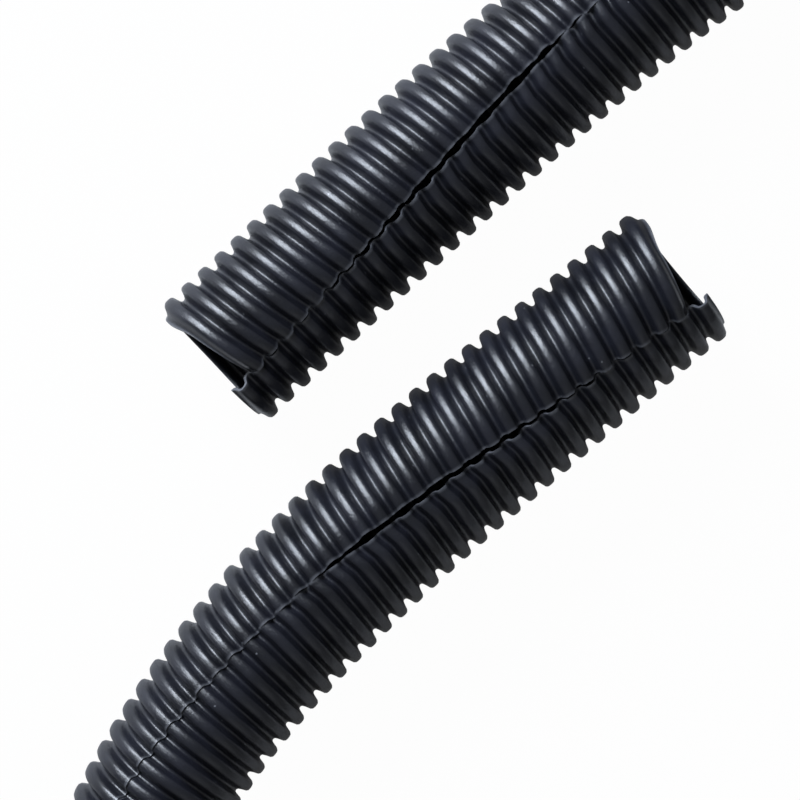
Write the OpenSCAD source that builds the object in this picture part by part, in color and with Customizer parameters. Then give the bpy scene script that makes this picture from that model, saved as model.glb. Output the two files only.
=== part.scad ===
// Split corrugated conduit: one length of slit plastic loom tube, lying as the open loop it was coiled in.
// The two cut ends lie side by side. All sizes are in millimetres, angles in degrees.

/* [Section] */
// Outside diameter over the rib crests
crest_d = 31; // [27:0.5:36]
// Height of a rib, from valley to crest
rib_h = 2.1; // [1.6:0.1:2.6]
// Thickness of the plastic
wall = 0.5; // [0.4:0.05:0.7]

/* [Corrugation] */
// Distance from one rib to the next
pitch = 4.5; // [4.2:0.1:5.5]
// Width of the flat top of a rib
crest_w = 2.0; // [1.6:0.1:2.4]
// Width of the flat bottom of a valley
valley_w = 1.3; // [1.1:0.1:1.5]

/* [Slit] */
// Width of the lengthwise slit where it gapes most
slit_w = 1.6; // [1:0.1:3]
// Distance from each end to where it gapes most
slit_wide_at = 65; // [40:5:90]
// Width of the slit at the ends and along the rest of the loop, where its lips nearly meet
slit_w_shut = 0.6; // [0.5:0.1:0.9]
// How far the knife wandered from side to side between one rib and the next
slit_wander = 0.35; // [0.25:0.05:0.5]
// How far the slit leans from the top at each end, towards the inside of the loop
slit_lean_end = 25; // [0:1:40]
// How far it leans the other way along the rest of the loop
slit_lean_far = 28; // [0:1:40]
// Distance from the near end over which the slit turns from one lean to the other
slit_turn_l = 135; // [90:5:250]
// The same distance from the far end, where the bend comes on more slowly
far_slit_turn_l = 180; // [90:5:250]

/* [Loop] */
// Length of the stock
stock_l = 1500; // [1300:50:2000]
// Angle that the whole length turns through
loop_turn = 363.5; // [360:0.5:368]
// How far the two ends lie past each other
overlap = 79.5; // [60:0.5:120]
// Distance between the centre lines of the two end runs
run_gap = 45.5; // [40:0.5:60]
// Straight length at each end
lead_l = 27; // [18:4.5:45]
// Length over which the near end eases into the full bend
ease_l = 115; // [100:5:180]
// Length over which the far end eases into it
far_ease_l = 175; // [120:5:220]

/* [Hidden] */
$fn = 96;

r_crest = crest_d/2;
r_valley = r_crest - rib_h;
r_bore = r_valley - wall;
ribs = round(stock_l/pitch);

// Each rib stands on a root that starts half a wall below the face of the valley, and the floor of the valley
// before it runs into that root. The conduit bends there, so the root is wide enough to hold the floor's edge.
root_h = wall/2;
root_w = 0.9;
flank_w = (pitch - crest_w - valley_w)/2;
rib_w = crest_w + 2*flank_w;
rib_x = -root_w/2;
flank_t = wall/sin(atan2(rib_h, flank_w));

// The knife's wander from rib to rib, as an angle.
wander = atan2(slit_wander/2, r_valley);

// The loop: how sharply each rib turns from the last, as a share of the sharpest, before it is scaled to loop_turn.
lead_n = round(lead_l/pitch);
ease_n = round(ease_l/pitch);
far_ease_n = round(far_ease_l/pitch);
steps = ribs - 1;
function ease(i) = max(min((i - lead_n)/ease_n, (steps - 1 - i - lead_n)/far_ease_n, 1), 0);
function share(i, flat, spread) =
    let (u = i/(steps - 1)) ease(i)*(1 - flat*pow(sin(180*u), 4))*(1 + spread*(1 - 2*u));
function total(v) = v*[for (i = v) 1];
function turns(flat, spread) =
    let (w = [for (i = [0 : steps - 1]) share(i, flat, spread)]) w*loop_turn/total(w);

// Each rib's place and heading, [x, y, heading], from the end that opens towards +X.
function walk(t) =
    [for (i = 0, x = 0, y = 0, a = 180; i < ribs;
          x = x + pitch*cos(a), y = y + pitch*sin(a), a = a + t[min(i, steps - 1)], i = i + 1) [x, y, a]];
function far_end(q) = let (p = walk(turns(q.x, q.y))[ribs - 1]) [p.x, p.y];

// The loop is flattened and opened out just enough for its far end to lie beside the near one.
far_place = [-overlap, run_gap];
function corrected(q) =
    let (d = 0.01, e = far_end(q), miss = far_place - e,
         fx = (far_end(q + [d, 0]) - e)/d, fy = (far_end(q + [0, d]) - e)/d,
         det = fx.x*fy.y - fy.x*fx.y)
    q + [miss.x*fy.y - fy.x*miss.y, fx.x*miss.y - miss.x*fx.y]/det;
shape = corrected(corrected(corrected([0.35, 0.1])));
path = walk(turns(shape.x, shape.y));

// The box that the loop fills, so that the origin sits under its middle.
crest_x = rib_x + rib_w/2;
crests = [for (p = path) [p.x + crest_x*cos(p.z), p.y + crest_x*sin(p.z), p.z]];
function reach_x(p) = r_crest*abs(sin(p.z)) + crest_w/2*abs(cos(p.z));
function reach_y(p) = r_crest*abs(cos(p.z)) + crest_w/2*abs(sin(p.z));
stub = valley_w/2;
lo = [min([for (p = crests) p.x - reach_x(p)]), min([for (p = crests) p.y - reach_y(p)])];
hi = [max(max([for (p = crests) p.x + reach_x(p)]), stub - rib_x),
      max([for (p = crests) p.y + reach_y(p)])];
middle = (lo + hi)/2;

// How far the slit leans from the top at rib i, positive towards the inside of the loop.
function slit_lean(i) =
    let (u = min(i*pitch/slit_turn_l, (ribs - 1 - i)*pitch/far_slit_turn_l, 1))
    slit_lean_end*(1 - u) - slit_lean_far*u + (i % 2 == 0 ? wander : -wander);

// Half the slit's opening angle at rib i.
function slit_half(i) =
    let (s = min(i, ribs - 1 - i)*pitch, open = max(1 - abs(s - slit_wide_at)/slit_wide_at, 0))
    asin((slit_w_shut + (slit_w - slit_w_shut)*open)/2/r_valley);

// A profile of [radius, x] points turned about X, open at the slit.
module turned(profile, lean, half) {
    rotate([0, 90, 0])
        rotate_extrude(angle = 360 - 2*half, start = 180 - lean + half) polygon(profile);
}

// Rib i with the valley that follows it, heading along +X from the line that it bends on.
module rib(i) {
    root_top = r_valley + root_h;
    root_end = r_valley - root_h;
    crest_in = r_crest - wall;
    x0 = rib_x;
    x1 = rib_x + rib_w;
    rise_in = flank_w*(crest_in - root_top)/(r_crest - root_top);
    fall_in = flank_w*(crest_in - r_valley)/rib_h;
    fall_bore = flank_w*wall/rib_h;
    valley_end = i == ribs - 1 ? x1 + stub : pitch;
    turned([
        [root_end, x0], [root_top, x0], [r_crest, x0 + flank_w], [r_crest, x1 - flank_w],
        [r_valley, x1], [r_valley, valley_end], [r_bore, valley_end], [r_bore, x1 - flank_t + fall_bore],
        [crest_in, x1 - flank_t - fall_in], [crest_in, x0 + flank_t + rise_in], [root_end, x0 + root_w]
    ], slit_lean(i), slit_half(i));
    if (i == 0)
        turned([[r_bore, x0 - stub], [r_valley, x0 - stub], [r_valley, 0], [r_bore, 0]],
            slit_lean(i) - wander, slit_half(i) + 2*wander);
}

// Moves from the frame of rib i to the frame of rib j.
module from_rib_to(i, j) {
    p = path[j] - path[i];
    a = path[i].z;
    translate([p.x*cos(a) + p.y*sin(a), p.y*cos(a) - p.x*sin(a), 0]) rotate([0, 0, p.z]) children();
}

function half_way(first, last) = ceil((first + last)/2);

// Ribs first to last as one piece, in the frame of the rib half way along, joined half to half.
module run(first, last) {
    mid = half_way(first, last);
    if (last - first < 3) for (i = [first : last]) from_rib_to(mid, i) rib(i);
    else {
        from_rib_to(mid, half_way(first, mid - 1)) run(first, mid - 1);
        from_rib_to(mid, half_way(mid, last)) run(mid, last);
    }
}

module conduit() {
    mid = half_way(0, ribs - 1);
    color([0.045, 0.047, 0.055])
        translate([path[mid].x - middle.x, path[mid].y - middle.y, r_crest])
            rotate([0, 0, path[mid].z]) run(0, ribs - 1);
}

conduit();
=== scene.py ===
"""Split corrugated conduit, dressed over its CAD frame.

One length of slit loom tube lies as the open loop it was coiled in. Geometry Nodes sweep its ribbed section
along the loop, with the slit that gapes near the ends and laps over itself where the tube bends.
All lengths are in metres and all angles in radians.
"""

import math

import bmesh
import bpy
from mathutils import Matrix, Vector


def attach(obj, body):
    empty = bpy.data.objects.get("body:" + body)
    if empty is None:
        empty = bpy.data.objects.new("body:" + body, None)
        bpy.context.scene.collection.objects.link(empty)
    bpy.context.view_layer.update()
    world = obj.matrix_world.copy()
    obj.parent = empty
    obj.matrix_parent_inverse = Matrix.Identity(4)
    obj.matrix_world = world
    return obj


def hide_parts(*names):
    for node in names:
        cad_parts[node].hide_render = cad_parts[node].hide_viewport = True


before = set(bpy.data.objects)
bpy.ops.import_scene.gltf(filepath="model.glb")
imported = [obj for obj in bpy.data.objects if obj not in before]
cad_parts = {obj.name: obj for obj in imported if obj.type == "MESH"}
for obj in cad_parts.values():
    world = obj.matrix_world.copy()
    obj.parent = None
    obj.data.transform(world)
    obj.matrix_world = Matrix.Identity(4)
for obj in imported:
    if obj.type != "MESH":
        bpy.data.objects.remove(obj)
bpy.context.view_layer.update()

bl_info = {
    "name": "Split Corrugated Conduit",
    "version": (1, 0, 0),
    "blender": (4, 5, 0),
    "location": "View3D > Sidebar > Conduit",
    "description": "Builds a loop of slit corrugated tube, with its plastic, floor, lights and camera",
    "category": "Object",
}

MM = 0.001
NODE = "conduit"
# Name of the attribute that marks the cut edges, where a painted highlight is laid into the plastic's colour.
EDGE_HIGHLIGHT = "edge_highlight"

# How far the middle of a rib's crest lies from the line that the rib bends on, and half the crest's width.
CREST_X = 1.15*MM
HALF_CREST = 1*MM
# How far the near cut lies before the first rib's line. The far cut lies short of the next one by as much.
STUB = 1.1*MM
# How far the centre line runs on past each cut, for a lip that is pushed out beyond it.
RUN_OUT = 12*MM

# The ribs in each run that ends in a cut, and the number of stretches that make up the loop between them.
NEAR_RIBS = 41
FAR_RIBS = 36
LOOP_STRETCHES = 3
# Rows to a rib and columns round the section, in the two end runs and in the loop.
FINE = {"Rows per rib": 14, "Columns": 84}
PLAIN = {"Rows per rib": 9, "Columns": 56}


# ---------------------------------------------------------------- sizes and colours

class TubeSizes(bpy.types.PropertyGroup):
    """The tube's section, its corrugation and its slit."""

    crest_d: bpy.props.FloatProperty(
        name="Outside diameter", description="Diameter over the rib crests",
        default=31*MM, min=27*MM, max=36*MM, unit="LENGTH")
    rib_h: bpy.props.FloatProperty(
        name="Rib height", description="Height of a rib, from valley to crest",
        default=2.1*MM, min=1.6*MM, max=2.6*MM, unit="LENGTH")
    wall: bpy.props.FloatProperty(
        name="Wall", description="Thickness of the plastic",
        default=0.5*MM, min=0.4*MM, max=0.7*MM, unit="LENGTH")
    pitch: bpy.props.FloatProperty(
        name="Pitch", description="Distance from one rib to the next",
        default=4.5*MM, min=4.2*MM, max=5.5*MM, unit="LENGTH")
    slit_w: bpy.props.FloatProperty(
        name="Slit", description="Width of the slit where it gapes most",
        default=1.75*MM, min=1*MM, max=3*MM, unit="LENGTH")
    slit_w_end: bpy.props.FloatProperty(
        name="Slit at the ends", description="Width of the slit at the cut ends",
        default=0.55*MM, min=0.2*MM, max=1*MM, unit="LENGTH")
    slit_lap: bpy.props.FloatProperty(
        name="Lap", description="How far one lip of the slit lies over the other where the tube bends",
        default=0.3*MM, min=0.0, max=1*MM, unit="LENGTH")
    slit_lean_end: bpy.props.FloatProperty(
        name="Lean at the ends",
        description="How far the slit leans from the top, towards the inside of the loop",
        default=math.radians(30), subtype="ANGLE")
    slit_lean_far: bpy.props.FloatProperty(
        name="Lean along the loop",
        description="How far the slit leans the other way along the rest of the loop",
        default=math.radians(26), subtype="ANGLE")
    slit_turn_l: bpy.props.FloatProperty(
        name="Near turn",
        description="Distance from the near end over which the slit turns from one lean to the other",
        default=145*MM, unit="LENGTH")
    far_slit_turn_l: bpy.props.FloatProperty(
        name="Far turn", description="The same distance from the far end",
        default=150*MM, unit="LENGTH")
    slip: bpy.props.FloatProperty(
        name="Slip", description="How far bending has drawn the outer lip of the slit back from each cut end",
        default=3.9*MM, min=0.0, max=6*MM, unit="LENGTH")
    seed: bpy.props.IntProperty(
        name="Seed", description="Which set of small unevennesses the knife left",
        default=7, min=0, max=100)


class LoopSizes(bpy.types.PropertyGroup):
    """How the length of tube lies on the floor."""

    stock_l: bpy.props.FloatProperty(
        name="Length", description="Length of the stock",
        default=1500*MM, unit="LENGTH")
    loop_turn: bpy.props.FloatProperty(
        name="Turn", description="Angle that the whole length turns through",
        default=math.radians(363.5), subtype="ANGLE")
    overlap: bpy.props.FloatProperty(
        name="Overlap", description="How far the two ends lie past each other",
        default=79.5*MM, unit="LENGTH")
    run_gap: bpy.props.FloatProperty(
        name="Gap", description="Distance between the centre lines of the two end runs",
        default=45.5*MM, unit="LENGTH")
    lead_l: bpy.props.FloatProperty(
        name="Lead", description="Straight length at each end",
        default=27*MM, unit="LENGTH")
    ease_l: bpy.props.FloatProperty(
        name="Near ease", description="Length over which the near end eases into the full bend",
        default=115*MM, unit="LENGTH")
    far_ease_l: bpy.props.FloatProperty(
        name="Far ease", description="Length over which the far end eases into the full bend",
        default=175*MM, unit="LENGTH")


class Finish(bpy.types.PropertyGroup):
    """The plastic's colour and sheen."""

    colour: bpy.props.FloatVectorProperty(
        name="Plastic", description="Colour of clean plastic",
        default=(0.0065, 0.007, 0.0095), size=3, min=0.0, max=1.0, subtype="COLOR")
    dulled: bpy.props.FloatVectorProperty(
        name="Dulled plastic", description="Colour where the plastic has been handled and dulled",
        default=(0.0125, 0.0135, 0.02), size=3, min=0.0, max=1.0, subtype="COLOR")
    # A pale colour that is real dust in the specks, and a painted highlight along the cut edges of the wall.
    highlight_and_dust: bpy.props.FloatVectorProperty(
        name="Cut edge", description="Colour of the whitened plastic along the knife's cut, and of dust",
        default=(0.13, 0.135, 0.15), size=3, min=0.0, max=1.0, subtype="COLOR")
    floor: bpy.props.FloatVectorProperty(
        name="Floor", description="Colour of the floor",
        default=(0.5, 0.5, 0.5), size=3, min=0.0, max=1.0, subtype="COLOR")


class ViewSizes(bpy.types.PropertyGroup):
    """Where the camera stands."""

    over_x: bpy.props.FloatProperty(
        name="Over X", description="Place that the camera looks down on, along X",
        default=-45.8*MM, unit="LENGTH")
    over_y: bpy.props.FloatProperty(
        name="Over Y", description="Place that the camera looks down on, along Y",
        default=179.4*MM, unit="LENGTH")
    width: bpy.props.FloatProperty(
        name="Width", description="Width that the view takes in",
        default=160*MM, unit="LENGTH")
    roll: bpy.props.FloatProperty(
        name="Roll", description="How far the near end's run is turned up from level in the view",
        default=math.radians(39.65), subtype="ANGLE")


# ---------------------------------------------------------------- the line the tube lies on

def walk(turns, pitch):
    """Each rib's place and heading, from the end that opens towards +X."""
    x, y, heading = 0.0, 0.0, math.pi
    stops = [(x, y, heading)]
    for turn in turns:
        x += pitch*math.cos(heading)
        y += pitch*math.sin(heading)
        heading += turn
        stops.append((x, y, heading))
    return stops


def bend(loop, pitch, ribs, flat, spread):
    """The turn at each rib: straight leads, eased into a loop flattened by flat and opened out by spread."""
    steps = ribs - 1
    lead = round(loop.lead_l/pitch)
    near = round(loop.ease_l/pitch)
    far = round(loop.far_ease_l/pitch)
    shares = []
    for i in range(steps):
        u = i/(steps - 1)
        ease = max(min((i - lead)/near, (steps - 1 - i - lead)/far, 1), 0)
        shares.append(ease*(1 - flat*math.sin(math.pi*u)**4)*(1 + spread*(1 - 2*u)))
    scale = loop.loop_turn/sum(shares)
    return [share*scale for share in shares]


def rib_stops(loop, pitch, ribs):
    """The ribs' places, once the loop is shaped so that its far end lies beside the near one."""
    # First guesses, which three rounds of Newton's method bring to where the loop closes.
    flat, spread, step = 0.35, 0.1, 0.01

    def far_end(f, s):
        return Vector(walk(bend(loop, pitch, ribs, f, s), pitch)[-1][:2])

    for _ in range(3):
        end = far_end(flat, spread)
        miss = Vector((-loop.overlap, loop.run_gap)) - end
        by_flat = (far_end(flat + step, spread) - end)/step
        by_spread = (far_end(flat, spread + step) - end)/step
        det = by_flat.x*by_spread.y - by_spread.x*by_flat.y
        flat += (miss.x*by_spread.y - by_spread.x*miss.y)/det
        spread += (by_flat.x*miss.y - miss.x*by_flat.y)/det
    return walk(bend(loop, pitch, ribs, flat, spread), pitch)


def centred(stops, tube):
    """The stops moved so that the box round the rib crests has its middle over the origin, as the CAD has."""
    reach = tube.crest_d/2
    xs_low, xs_high, ys_low, ys_high = [], [STUB], [], []
    for x, y, a in stops:
        cx, cy = x + CREST_X*math.cos(a), y + CREST_X*math.sin(a)
        rx = reach*abs(math.sin(a)) + HALF_CREST*abs(math.cos(a))
        ry = reach*abs(math.cos(a)) + HALF_CREST*abs(math.sin(a))
        xs_low.append(cx - rx)
        xs_high.append(cx + rx)
        ys_low.append(cy - ry)
        ys_high.append(cy + ry)
    middle_x = (min(xs_low) + max(xs_high))/2
    middle_y = (min(ys_low) + max(ys_high))/2
    return [(x - middle_x, y - middle_y, a) for x, y, a in stops]


def centre_line(tube, loop):
    """A curve along the tube's middle, which runs on past each cut end by RUN_OUT."""
    ribs = round(loop.stock_l/tube.pitch)
    stops = centred(rib_stops(loop, tube.pitch, ribs), tube)
    x, y, a = stops[0]
    back = STUB + RUN_OUT
    points = [(x - back*math.cos(a), y - back*math.sin(a))]
    points += [(x, y) for x, y, a in stops]
    x, y, a = stops[-1]
    on = tube.pitch - STUB + RUN_OUT
    points.append((x + on*math.cos(a), y + on*math.sin(a)))
    data = bpy.data.curves.new("Centre line", "CURVE")
    data.dimensions = "3D"
    spline = data.splines.new("POLY")
    spline.points.add(len(points) - 1)
    for point, (x, y) in zip(spline.points, points):
        point.co = (x, y, 0, 1)
    line = bpy.data.objects.new("Centre line", data)
    bpy.context.scene.collection.objects.link(line)
    return line, ribs


# ---------------------------------------------------------------- arithmetic in node trees

class Field:
    """A value in a node tree that can be reckoned with as a number can."""

    def __init__(self, tree, socket):
        self.tree = tree
        self.socket = socket

    def __add__(self, other):
        return reckon("ADD", self, other)

    def __radd__(self, other):
        return reckon("ADD", self, other)

    def __sub__(self, other):
        return reckon("SUBTRACT", self, other)

    def __rsub__(self, other):
        return reckon("SUBTRACT", other, self)

    def __mul__(self, other):
        return reckon("MULTIPLY", self, other)

    def __rmul__(self, other):
        return reckon("MULTIPLY", self, other)

    def __truediv__(self, other):
        return reckon("DIVIDE", self, other)

    def __gt__(self, other):
        return reckon("GREATER_THAN", self, other)

    def __lt__(self, other):
        return reckon("LESS_THAN", self, other)


def plug(socket, value):
    """Sets a socket to a number, or links a field to it."""
    if isinstance(value, Field):
        value.tree.links.new(value.socket, socket)
    else:
        socket.default_value = value


def reckon(operation, *values):
    """A Math node on fields and numbers."""
    tree = next(value.tree for value in values if isinstance(value, Field))
    made = tree.nodes.new("ShaderNodeMath")
    made.operation = operation
    for socket, value in zip(made.inputs, values):
        plug(socket, value)
    return Field(tree, made.outputs[0])


def smooth(value, low, high):
    """0 below low, 1 above high, and an even S-shaped rise between."""
    made = value.tree.nodes.new("ShaderNodeMapRange")
    made.interpolation_type = "SMOOTHSTEP"
    plug(made.inputs["Value"], value)
    plug(made.inputs["From Min"], low)
    plug(made.inputs["From Max"], high)
    return Field(value.tree, made.outputs["Result"])


def clipped(value):
    """The value held between 0 and 1."""
    return reckon("MINIMUM", reckon("MAXIMUM", value, 0), 1)


def uneven(along, scale, seed):
    """A smooth random swing of about -0.5 to 0.5 along the tube."""
    made = along.tree.nodes.new("ShaderNodeTexNoise")
    made.noise_dimensions = "2D"
    made.inputs["Detail"].default_value = 1
    made.inputs["Scale"].default_value = 1
    place = along.tree.nodes.new("ShaderNodeCombineXYZ")
    plug(place.inputs["X"], along*scale)
    plug(place.inputs["Y"], seed)
    along.tree.links.new(place.outputs[0], made.inputs["Vector"])
    return Field(along.tree, made.outputs[0]) - 0.5


def parts_of(tree, vector):
    """The X, Y and Z of a vector output, as fields."""
    made = tree.nodes.new("ShaderNodeSeparateXYZ")
    tree.links.new(vector, made.inputs[0])
    return [Field(tree, made.outputs[axis]) for axis in "XYZ"]


# ---------------------------------------------------------------- the ribbed tube

TUBE_INPUTS = (
    ("First rib", "NodeSocketFloat"),
    ("Ribs", "NodeSocketInt"),
    ("Rows per rib", "NodeSocketInt"),
    ("Columns", "NodeSocketInt"),
    ("Outside diameter", "NodeSocketFloat"),
    ("Rib height", "NodeSocketFloat"),
    ("Wall", "NodeSocketFloat"),
    ("Pitch", "NodeSocketFloat"),
    ("Length", "NodeSocketFloat"),
    ("Run-out", "NodeSocketFloat"),
    ("Slit", "NodeSocketFloat"),
    ("Slit at the ends", "NodeSocketFloat"),
    ("Lap", "NodeSocketFloat"),
    ("Lean at the ends", "NodeSocketFloat"),
    ("Lean along the loop", "NodeSocketFloat"),
    ("Near turn", "NodeSocketFloat"),
    ("Far turn", "NodeSocketFloat"),
    ("Slip", "NodeSocketFloat"),
    ("Seed", "NodeSocketInt"),
)


def sheet(tree, ribs, rows, columns):
    """A grid that becomes the skin, and the places of its points as fields.

    Its columns run over the outer face from one lip of the slit to the other, and back over the inner face.
    Its rows run along the tube, with one more at each end that closes the cut. The fields are the share of
    the way round from lip to lip, the number of ribs along, whether a point is on the inner face, and whether
    it closes a cut.
    """
    row_count = ribs*rows + 3
    column_count = columns*2 + 3
    grid = tree.nodes.new("GeometryNodeMeshGrid")
    grid.inputs["Size X"].default_value = 1
    grid.inputs["Size Y"].default_value = 1
    plug(grid.inputs["Vertices X"], row_count)
    plug(grid.inputs["Vertices Y"], column_count)
    x, y, _ = parts_of(tree, tree.nodes.new("GeometryNodeInputPosition").outputs[0])
    row = reckon("ROUND", (x + 0.5)*(row_count - 1))
    column = reckon("ROUND", (y + 0.5)*(column_count - 1))
    closing = (row < 0.5) + (row > row_count - 1.5)
    inner = (column > columns + 0.5)*(column < columns*2 + 1.5)
    outer = column < columns + 0.5
    share = outer*column/columns + inner*(1 - (column - columns - 1)/columns)
    step = reckon("MINIMUM", reckon("MAXIMUM", row - 1, 0), ribs*rows)/rows

    # The columns crowd towards the lips, and the rows towards the valleys between the ribs.
    share = share - 0.4*reckon("SINE", share*math.tau)/math.tau
    step = step - 0.3*reckon("SINE", step*math.tau)/math.tau
    return grid.outputs["Mesh"], share, step, inner, closing


def slit_course(value, along, from_end, bent):
    """How far the slit leans from the top, how wide it gapes, and how fully its lips lap over each other."""
    seed = value("Seed")
    leaned = reckon("MINIMUM", bent, 1)
    wander = reckon("COSINE", (along/value("Pitch") - 0.5)*math.pi)*math.radians(0.5)
    lean = value("Lean at the ends")*(1 - leaned) - value("Lean along the loop")*leaned + wander
    lean = lean + uneven(along, 90, seed)*math.radians(1.6)

    # The slit gapes before the bend, and closes down to a small clearance. In the bend its lips lap, and
    # beyond it they come apart again.
    clearance = 0.3*MM
    knife = 0.3*MM
    lapped = smooth(bent, 0.64, 0.82)*(1 - smooth(from_end, 230*MM, 330*MM))
    gap = value("Slit at the ends") + (value("Slit") - value("Slit at the ends"))*smooth(bent, 0.08, 0.37)
    gap = gap - (value("Slit") - clearance)*smooth(bent, 0.55, 0.69) - (clearance + value("Lap"))*lapped
    gap = gap + uneven(along, 420, seed + 11)*knife*(1 - 0.8*lapped)
    return lean, gap, lapped


def lip_slip(value, angle, lean, half, from_end, bent, at_inner_lip):
    """How far the plastic has slipped along the tube, at this angle round it.

    Bending has drawn the lips past each other by one whole rib, so that the ribs of one lip nest in those of
    the other where they lap. The tube is even again at the back of the loop.
    """
    pitch, most = value("Pitch"), value("Slip")
    outer_side = clipped((angle - 1.5*math.pi)/(0.5*math.pi + lean - half))
    inner_side = clipped((0.5*math.pi - angle)/(0.5*math.pi - lean - half))
    drawn = pitch/2 + (most - pitch/2)*(1 - smooth(from_end, 20*MM, 120*MM))
    fading = 1 - smooth(from_end, 300*MM, 720*MM)

    # At the cut the outer lip is drawn back further, in a curl, and the corner beside it is flared outwards.
    end_pull = 0.2*most*reckon("EXPONENT", from_end/(-6*MM))
    curl = reckon("EXPONENT", from_end/(-30*MM))
    drawn_back = (drawn + end_pull)*fading*outer_side*(1 + curl*(outer_side - 1))
    pushed_out = (pitch - drawn)*fading*inner_side
    hooked = 0.7*MM*smooth(from_end, 20*MM, 60*MM)*(1 - smooth(bent, 0.65, 0.9))*at_inner_lip
    corner = smooth(angle, 1.5*math.pi, 1.62*math.pi)*(1 - smooth(angle, 1.66*math.pi, 1.85*math.pi))
    flared = 0.9*MM*corner*reckon("EXPONENT", from_end/(-1.5*MM))
    return drawn_back - pushed_out + hooked - flared


def ribbed_radius(value, along, inner, closing):
    """The radius of the ribbed skin: the outer face, the inner face, or half way between on a closed cut."""
    rib_h = value("Rib height")
    r_valley = value("Outside diameter")/2 - rib_h
    r_bore = r_valley - value("Wall")
    wave = reckon("COSINE", (along/value("Pitch") - 0.5)*math.tau)
    crown = 0.065*(wave - 1)

    def height(steepness, half_way):
        return rib_h*(0.5 + 0.5*reckon("TANH", steepness*(wave - half_way)) + crown)

    # The inner face rises later than the outer one, so that the flanks keep one thickness of wall.
    outer_r = r_valley + height(2.4, -0.43)
    inner_r = r_bore + height(3.2, 0.2)
    return outer_r + (inner_r - outer_r)*(inner + closing*(0.5 - inner))


def on_the_line(tree, line, length, sideways, height):
    """The place at a length along the centre line, so far to the side of it and so high over the floor."""
    sample = tree.nodes.new("GeometryNodeSampleCurve")
    sample.mode = "LENGTH"
    tree.links.new(line, sample.inputs["Curves"])
    plug(sample.inputs["Length"], length)
    middle_x, middle_y, _ = parts_of(tree, sample.outputs["Position"])
    heading_x, heading_y, _ = parts_of(tree, sample.outputs["Tangent"])
    place = tree.nodes.new("ShaderNodeCombineXYZ")
    plug(place.inputs["X"], middle_x - heading_y*sideways)
    plug(place.inputs["Y"], middle_y + heading_x*sideways)
    plug(place.inputs["Z"], height)
    return place.outputs[0]


def closed_skin(tree, mesh, place, edge_highlight, material):
    """The grid moved to its place, welded, shaded smooth up to its folds, and given its material."""
    worn = tree.nodes.new("GeometryNodeStoreNamedAttribute")
    worn.data_type = "FLOAT"
    worn.domain = "POINT"
    worn.inputs["Name"].default_value = EDGE_HIGHLIGHT
    plug(worn.inputs["Value"], edge_highlight)
    moved = tree.nodes.new("GeometryNodeSetPosition")
    tree.links.new(place, moved.inputs["Position"])
    welded = tree.nodes.new("GeometryNodeMergeByDistance")
    welded.inputs["Distance"].default_value = 0.002*MM
    shaded = tree.nodes.new("GeometryNodeSetShadeSmooth")
    creased = tree.nodes.new("GeometryNodeSetShadeSmooth")
    creased.domain = "EDGE"
    creased.inputs["Shade Smooth"].default_value = False
    fold = tree.nodes.new("GeometryNodeInputMeshEdgeAngle")
    plug(creased.inputs["Selection"], Field(tree, fold.outputs["Unsigned Angle"]) > math.radians(50))
    realized = tree.nodes.new("GeometryNodeRealizeInstances")
    coloured = tree.nodes.new("GeometryNodeSetMaterial")
    tree.links.new(material, coloured.inputs["Material"])
    for made in (worn, moved, welded, shaded, creased, realized, coloured):
        tree.links.new(mesh, made.inputs["Geometry"])
        mesh = made.outputs["Geometry"]
    return mesh


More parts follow.
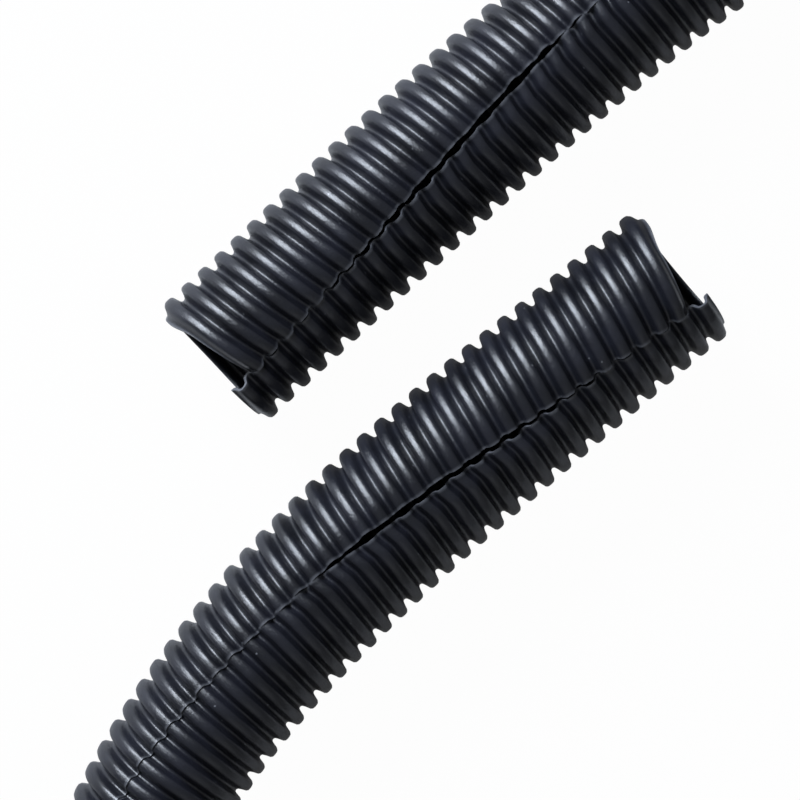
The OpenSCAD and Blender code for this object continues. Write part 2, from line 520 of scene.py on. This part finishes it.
def tube_tree():
    """Geometry Nodes that sweep the slit, ribbed section along a centre line, as one closed skin."""
    tree = bpy.data.node_groups.new("Slit ribbed tube", "GeometryNodeTree")
    tree.interface.new_socket("Centre line", in_out="INPUT", socket_type="NodeSocketGeometry")
    for name, kind in TUBE_INPUTS:
        tree.interface.new_socket(name, in_out="INPUT", socket_type=kind)
    tree.interface.new_socket("Material", in_out="INPUT", socket_type="NodeSocketMaterial")
    tree.interface.new_socket("Tube", in_out="OUTPUT", socket_type="NodeSocketGeometry")
    given = tree.nodes.new("NodeGroupInput")
    result = tree.nodes.new("NodeGroupOutput")

    def value(name):
        return Field(tree, given.outputs[name])

    mesh, share, step, inner, closing = sheet(tree, value("Ribs"), value("Rows per rib"), value("Columns"))
    along = (value("First rib") + step)*value("Pitch")

    # How far this place is from the nearer cut end, and how far into the bend.
    from_far = value("Length") - along
    at_far = from_far < along
    from_end = reckon("MINIMUM", along, from_far)
    bent = from_end/(value("Near turn") + at_far*(value("Far turn") - value("Near turn")))

    r_crest = value("Outside diameter")/2
    lean, gap, lapped = slit_course(value, along, from_end, bent)
    half = gap/(2*r_crest)
    round_l = math.tau - 2*half
    angle = lean + half + share*round_l
    from_inner_lip = share*round_l*r_crest
    from_outer_lip = (1 - share)*round_l*r_crest
    at_inner_lip = 1 - smooth(from_inner_lip, 0, 4.5*MM)
    at_outer_lip = 1 - smooth(from_outer_lip, 0, 4*MM)
    slip = lip_slip(value, angle, lean, half, from_end, bent, at_inner_lip)
    placed = along + (1 - at_far*2)*slip

    # Each lip sinks a little towards its edge, and the inner one tucks under where they lap.
    tucked = lapped*0.6*MM*(1 - smooth(from_inner_lip, 0.3*MM, 9*MM))
    sunk = 0.5*MM*at_inner_lip*(1 - lapped) + 0.25*MM*at_outer_lip
    radius = ribbed_radius(value, along, inner, closing) - tucked - sunk

    # The gaping slit lets the tube spread, and the lapped slit narrows it.
    gaping = smooth(bent, 0.05, 0.4)*(1 - smooth(bent, 0.55, 0.95))
    wide = 1.015 + 0.035*gaping - 0.06*smooth(bent, 0.6, 1.2)
    tall = 1 - 0.02*gaping - 0.015*smooth(bent, 0.6, 1.2)
    place = on_the_line(tree, given.outputs["Centre line"], placed + value("Run-out"),
                        reckon("SINE", angle)*radius*wide, (r_crest + reckon("COSINE", angle)*radius)*tall)

    # How near each place is to the knife's cut, for the painted highlight along the cut edges.
    from_cut = reckon("MINIMUM", reckon("MINIMUM", from_inner_lip, from_outer_lip), from_end)
    edge_highlight = 1 - smooth(from_cut, 0.0, 0.5*MM)
    skin = closed_skin(tree, mesh, place, edge_highlight, given.outputs["Material"])
    tree.links.new(skin, result.inputs["Tube"])
    return tree


def plain_mesh(obj, name):
    """The result of an object's modifiers, as a plain closed mesh object with its faces outwards."""
    evaluated = obj.evaluated_get(bpy.context.evaluated_depsgraph_get())
    mesh = bpy.data.meshes.new_from_object(evaluated)
    mesh.name = name
    shell = bmesh.new()
    shell.from_mesh(mesh)
    if shell.calc_volume(signed=True) < 0:
        bmesh.ops.reverse_faces(shell, faces=shell.faces)
    open_edges = sum(1 for edge in shell.edges if not edge.is_manifold)
    shell.to_mesh(mesh)
    shell.free()
    if open_edges:
        raise RuntimeError(f"{name} has {open_edges} open edges")
    piece = bpy.data.objects.new(name, mesh)
    bpy.context.scene.collection.objects.link(piece)
    return piece


def sweep(tree, line, settings, material, name):
    """One stretch of the tube, as a plain mesh."""
    holder = line.copy()
    bpy.context.scene.collection.objects.link(holder)
    modifier = holder.modifiers.new("Tube", "NODES")
    modifier.node_group = tree
    for item in tree.interface.items_tree:
        if item.in_out == "INPUT" and item.name in settings:
            modifier[item.identifier] = settings[item.name]
        elif item.in_out == "INPUT" and item.name == "Material":
            modifier[item.identifier] = material
    piece = plain_mesh(holder, name)
    bpy.data.objects.remove(holder)
    return piece


# ---------------------------------------------------------------- the plastic

def node(tree, kind, links=(), **values):
    """A shader node with its inputs set by name, and links as (output, input name)."""
    made = tree.nodes.new(kind)
    for name, setting in values.items():
        made.inputs[name].default_value = setting
    for output, name in links:
        tree.links.new(output, made.inputs[name])
    return made


def ramp(tree, factor, low, high, low_colour, high_colour):
    """A colour that runs from one to the other as the factor goes from low to high."""
    made = tree.nodes.new("ShaderNodeValToRGB")
    made.color_ramp.elements[0].position = low
    made.color_ramp.elements[0].color = (*low_colour, 1)
    made.color_ramp.elements[1].position = high
    made.color_ramp.elements[1].color = (*high_colour, 1)
    tree.links.new(factor, made.inputs["Fac"])
    return made.outputs["Color"]


def mixed(tree, factor, first, second):
    """A colour mixed from the first, an output, to the second, a plain colour."""
    made = tree.nodes.new("ShaderNodeMix")
    made.data_type = "RGBA"
    plug(made.inputs["Factor"], factor)
    tree.links.new(first, made.inputs["A"])
    made.inputs["B"].default_value = (*second, 1)
    return made.outputs["Result"]


def black_plastic(finish):
    """Satin black plastic: a fine moulded grain, handled patches, specks of dust and a painted highlight
    along the cut edges.
    """
    material = bpy.data.materials.new("Satin black polypropylene")
    material.use_nodes = True
    tree = material.node_tree
    shader = tree.nodes["Principled BSDF"]
    place = (tree.nodes.new("ShaderNodeTexCoord").outputs["Object"], "Vector")

    patches = node(tree, "ShaderNodeTexNoise", [place], Scale=110, Detail=3).outputs["Fac"]
    grain = node(tree, "ShaderNodeTexNoise", [place], Scale=1700, Detail=4, Roughness=0.7).outputs["Fac"]
    dents = node(tree, "ShaderNodeTexNoise", [place], Scale=420, Detail=2).outputs["Fac"]
    dust = node(tree, "ShaderNodeTexVoronoi", [place], Scale=260, Randomness=1).outputs["Distance"]
    cut = tree.nodes.new("ShaderNodeAttribute")
    cut.attribute_name = EDGE_HIGHLIGHT

    base = ramp(tree, patches, 0.35, 0.75, finish.colour, finish.dulled)
    # Painted highlight: the pale colour laid along the cut edges and broken up by the dents noise. The same
    # colour serves for the real dust specks below.
    painted_highlight = Field(tree, cut.outputs["Fac"])*Field(tree, dents)
    edged = mixed(tree, painted_highlight, base, finish.highlight_and_dust)
    speck = Field(tree, dust) < 0.045
    dusted = mixed(tree, speck, edged, finish.highlight_and_dust)
    tree.links.new(dusted, shader.inputs["Base Color"])

    sheen = ramp(tree, patches, 0.3, 0.8, (0.28,)*3, (0.38,)*3)
    tree.links.new(sheen, shader.inputs["Roughness"])
    grained = node(tree, "ShaderNodeBump", [(grain, "Height")], Strength=1, Distance=0.08*MM).outputs[0]
    dented = node(tree, "ShaderNodeBump", [(dents, "Height"), (grained, "Normal")],
                  Strength=0.35, Distance=0.08*MM).outputs[0]
    tree.links.new(dented, shader.inputs["Normal"])
    shader.inputs["IOR"].default_value = 1.5
    return material


class CONDUIT_OT_build_tube(bpy.types.Operator):
    """Build the conduit as five stretches that meet end to end along the loop."""

    bl_idname = "conduit.build_tube"
    bl_label = "Build conduit"

    def execute(self, context):
        tube, loop = context.scene.conduit_tube, context.scene.conduit_loop
        line, ribs = centre_line(tube, loop)
        tree = tube_tree()
        material = black_plastic(context.scene.conduit_finish)
        shared = {
            "Outside diameter": tube.crest_d, "Rib height": tube.rib_h, "Wall": tube.wall,
            "Pitch": tube.pitch, "Length": ribs*tube.pitch, "Run-out": RUN_OUT,
            "Slit": tube.slit_w, "Slit at the ends": tube.slit_w_end, "Lap": tube.slit_lap,
            "Lean at the ends": tube.slit_lean_end, "Lean along the loop": tube.slit_lean_far,
            "Near turn": tube.slit_turn_l, "Far turn": tube.far_slit_turn_l,
            "Slip": tube.slip, "Seed": tube.seed,
        }
        between = ribs - NEAR_RIBS - FAR_RIBS
        starts = [NEAR_RIBS + round(between*k/LOOP_STRETCHES) for k in range(LOOP_STRETCHES + 1)]
        runs = [("conduit_near_run", 0, NEAR_RIBS, FINE)]
        for k in range(LOOP_STRETCHES):
            runs.append((f"conduit_loop_run_{k + 1}", starts[k], starts[k + 1] - starts[k], PLAIN))
        runs.append(("conduit_far_run", ribs - FAR_RIBS, FAR_RIBS, FINE))
        for name, first, count, fineness in runs:
            settings = {**shared, **fineness, "First rib": float(first), "Ribs": count}
            piece = sweep(tree, line, settings, material, name)
            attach(piece, "root")
            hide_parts(NODE)
        bpy.data.objects.remove(line)
        return {"FINISHED"}


# ---------------------------------------------------------------- floor, lights and camera

def mix_into_output(tree, kind, factor, first, second):
    """Sends a mix of two shaders to an output of this kind: the first at a factor of 0, the second at 1."""
    mix = tree.nodes.new("ShaderNodeMixShader")
    output = tree.nodes.new(kind)
    plug(mix.inputs["Fac"], factor)
    tree.links.new(first.outputs[0], mix.inputs[1])
    tree.links.new(second.outputs[0], mix.inputs[2])
    tree.links.new(mix.outputs[0], output.inputs["Surface"])


def floor_material(colour):
    """A pale floor that the camera sees as white, with a faint shadow under the tube."""
    material = bpy.data.materials.new("Pale floor")
    material.use_nodes = True
    tree = material.node_tree
    tree.nodes.clear()
    plain = node(tree, "ShaderNodeBsdfDiffuse", Color=(*colour, 1))
    bright = node(tree, "ShaderNodeEmission", Color=(1, 1, 1, 1), Strength=1)
    path = tree.nodes.new("ShaderNodeLightPath")
    camera = Field(tree, path.outputs["Is Camera Ray"])
    glossy = Field(tree, path.outputs["Is Glossy Ray"])
    through = Field(tree, path.outputs["Is Transmission Ray"])
    # In reflections the floor is far from white, or it would light up the tube's dark sides.
    share = 0.98*camera + 0.1*glossy + 0.98*through
    mix_into_output(tree, "ShaderNodeOutputMaterial", share, plain, bright)
    return material


def studio_world():
    """Soft even light, and white where the camera looks past the floor."""
    world = bpy.data.worlds.new("Studio")
    world.use_nodes = True
    tree = world.node_tree
    tree.nodes.clear()
    even = node(tree, "ShaderNodeBackground", Color=(0.93, 0.96, 1, 1), Strength=0.2)
    white = node(tree, "ShaderNodeBackground", Color=(1, 1, 1, 1), Strength=1)
    path = tree.nodes.new("ShaderNodeLightPath")
    camera = Field(tree, path.outputs["Is Camera Ray"])
    mix_into_output(tree, "ShaderNodeOutputWorld", camera, even, white)
    return world


def soft_light(name, target, direction, distance, size, power, colour):
    """An area light, so wide and so high, that faces the target from the given direction."""
    data = bpy.data.lights.new(name, "AREA")
    data.shape = "RECTANGLE"
    data.size, data.size_y = size
    data.energy = power
    data.color = colour
    light = bpy.data.objects.new(name, data)
    towards = Vector(direction).normalized()
    light.location = Vector(target) + towards*distance
    light.rotation_euler = towards.to_track_quat("Z", "Y").to_euler()
    bpy.context.scene.collection.objects.link(light)


class CONDUIT_OT_build_stage(bpy.types.Operator):
    """Lay the floor, and set the lights and the camera over the two ends."""

    bl_idname = "conduit.build_stage"
    bl_label = "Build stage"

    def execute(self, context):
        scene, tube = context.scene, context.scene.conduit_tube
        bpy.ops.mesh.primitive_plane_add(size=8)
        floor = context.object
        floor.name = "floor"
        floor.data.materials.append(floor_material(scene.conduit_finish.floor))
        scene.world = studio_world()
        scene.view_settings.view_transform = "Standard"

        target = Vector((scene.conduit_view.over_x, scene.conduit_view.over_y, tube.crest_d/2))
        soft_light("Key light", target, direction=(0, 0.84, 0.54), distance=0.9, size=(0.3, 0.5),
                   power=18, colour=(0.82, 0.89, 1))
        soft_light("Fill light", target, direction=(-0.3, -0.75, 0.6), distance=1.2, size=(0.8, 0.8),
                   power=0.8, colour=(0.9, 0.94, 1))

        # The camera looks straight down on the two ends, turned so that they run up to the right.
        data = bpy.data.cameras.new("Camera")
        data.lens = 225
        data.sensor_width = 36
        camera = bpy.data.objects.new("Camera", data)
        distance = scene.conduit_view.width*data.lens/data.sensor_width
        camera.location = target + Vector((0, 0, distance))
        camera.rotation_euler = (0, 0, -scene.conduit_view.roll)
        scene.collection.objects.link(camera)
        scene.camera = camera
        return {"FINISHED"}


class CONDUIT_PT_panel(bpy.types.Panel):
    """Sizes and finish of the conduit, and the steps that build it."""

    bl_label = "Conduit"
    bl_idname = "CONDUIT_PT_panel"
    bl_space_type = "VIEW_3D"
    bl_region_type = "UI"
    bl_category = "Conduit"

    def draw(self, context):
        layout = self.layout
        for group in SETTINGS:
            box = layout.box()
            settings = getattr(context.scene, group)
            for name in type(settings).__annotations__:
                box.prop(settings, name)
        layout.operator(CONDUIT_OT_build_tube.bl_idname)
        layout.operator(CONDUIT_OT_build_stage.bl_idname)


SETTINGS = {
    "conduit_tube": TubeSizes,
    "conduit_loop": LoopSizes,
    "conduit_finish": Finish,
    "conduit_view": ViewSizes,
}
CLASSES = (*SETTINGS.values(), CONDUIT_OT_build_tube, CONDUIT_OT_build_stage, CONDUIT_PT_panel)


def register():
    for cls in CLASSES:
        bpy.utils.register_class(cls)
    for name, group in SETTINGS.items():
        setattr(bpy.types.Scene, name, bpy.props.PointerProperty(type=group))


def unregister():
    for name in SETTINGS:
        delattr(bpy.types.Scene, name)
    for cls in reversed(CLASSES):
        bpy.utils.unregister_class(cls)


def main():
    """Builds everything."""
    register()
    bpy.ops.conduit.build_tube()
    bpy.ops.conduit.build_stage()


if __name__ == "__main__":
    main()
